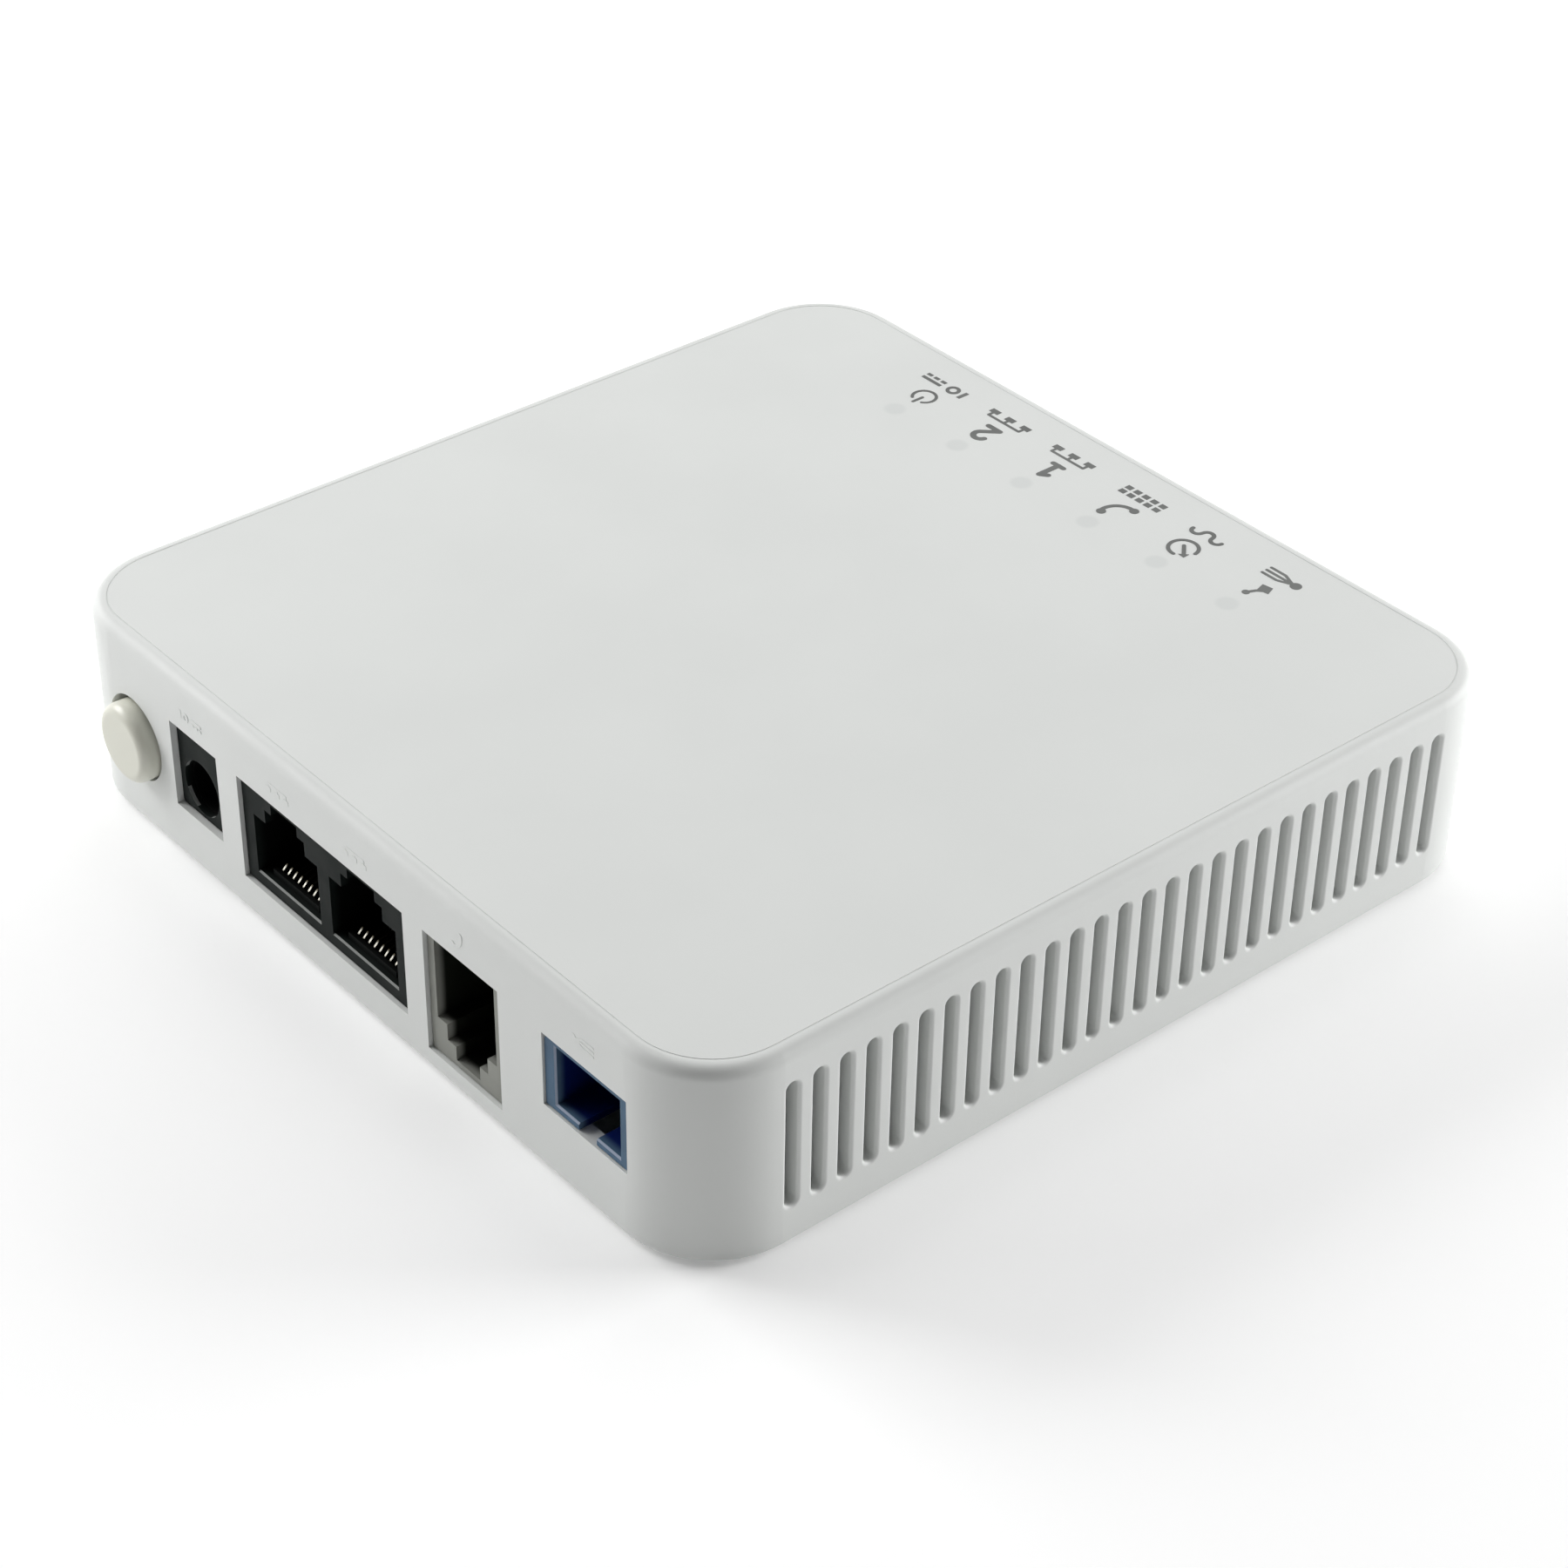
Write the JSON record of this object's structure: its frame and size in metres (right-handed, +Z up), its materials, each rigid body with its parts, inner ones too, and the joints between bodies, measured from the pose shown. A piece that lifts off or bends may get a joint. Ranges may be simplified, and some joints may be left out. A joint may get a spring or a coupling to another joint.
{
  "type": "optical network terminal",
  "caption": "Low square fibre modem case with rounded corners, a vented side, a push button and power, network, phone and fibre sockets along one side.",
  "frame": {"origin": "centre of the case footprint, on the plane the rubber feet stand on", "axes": "+Z up through the top, -Y out of the connector side, +X out of the right-hand vented side seen from the connectors"},
  "size_m": [0.12, 0.1222, 0.026],
  "materials": {
    "shell_white": "fine matte white moulded ABS",
    "foot_rubber": "soft grey rubber",
    "screw_steel": "zinc plated",
    "label_film": "blank film label",
    "board_green": "solder mask",
    "jack_black": "black moulded nylon",
    "jack_grey": "grey moulded nylon",
    "contact_brass": "gold flashed",
    "fibre_blue": "blue moulded plastic",
    "ceramic_white": "zirconia",
    "metal_case": "nickel silver",
    "button_ivory": "satin ivory",
    "switch_white": "natural nylon",
    "led_lens": "clear epoxy",
    "light_clear": "clear acrylic",
    "chip_black": "epoxy moulding compound",
    "pad_grey": "silicone gap pad",
    "sink_black": "black anodised",
    "ferrite_grey": "moulded ferrite",
    "can_sleeve": "dark sleeve",
    "print_ink": "dark grey printed ink",
    "ceramic_tan": "ceramic"
  },
  "bodies": {
    "case": {"housing": "shell_white", "base_plate": "shell_white", "rubber_feet": "foot_rubber", "base_screws": "screw_steel", "rating_label": "label_film", "circuit_board": "board_green", "board_screws": "screw_steel", "dc_jack_housing": "jack_black", "dc_jack_pin": "contact_brass", "dc_jack_spring": "contact_brass", "lan_jack_housing": "jack_black", "lan_jack_contacts": "contact_brass", "phone_jack_housing": "jack_grey", "phone_jack_contacts": "contact_brass", "fibre_receptacle": "fibre_blue", "fibre_sleeve": "ceramic_white", "optical_module": "metal_case", "laser_can": "metal_case", "photodiode_can": "metal_case", "laser_shield": "metal_case", "laser_driver": "chip_black", "switch_body": "jack_black", "status_leds": "led_lens", "light_guides": "light_clear", "light_baffle": "chip_black", "main_processor": "chip_black", "thermal_pad": "pad_grey", "heatsink": "sink_black", "memory_chip": "chip_black", "flash_chip": "chip_black", "phone_line_chip": "chip_black", "lan_transformers": "chip_black", "power_inductors": "ferrite_grey", "bulk_capacitors": "can_sleeve", "ceramic_capacitors": "ceramic_tan", "chip_resistors": "chip_black", "regulator_chips": "chip_black", "clock_crystal": "metal_case", "input_fuse": "ceramic_white", "surge_protectors": "chip_black", "service_header": "jack_black", "service_pins": "contact_brass", "switch_spring": "screw_steel"},
    "button": {"power_button": "button_ivory", "switch_plunger": "switch_white"}
  },
  "joints": [
    {"name": "power_button_press", "type": "slide", "parent": "case", "child": "button", "axis": [0, 1, 0], "range_m": [0, 0.002], "stiffness_N_per_m": 350, "springref_m": -0.001, "deforming": ["switch_spring"]}
  ]
}
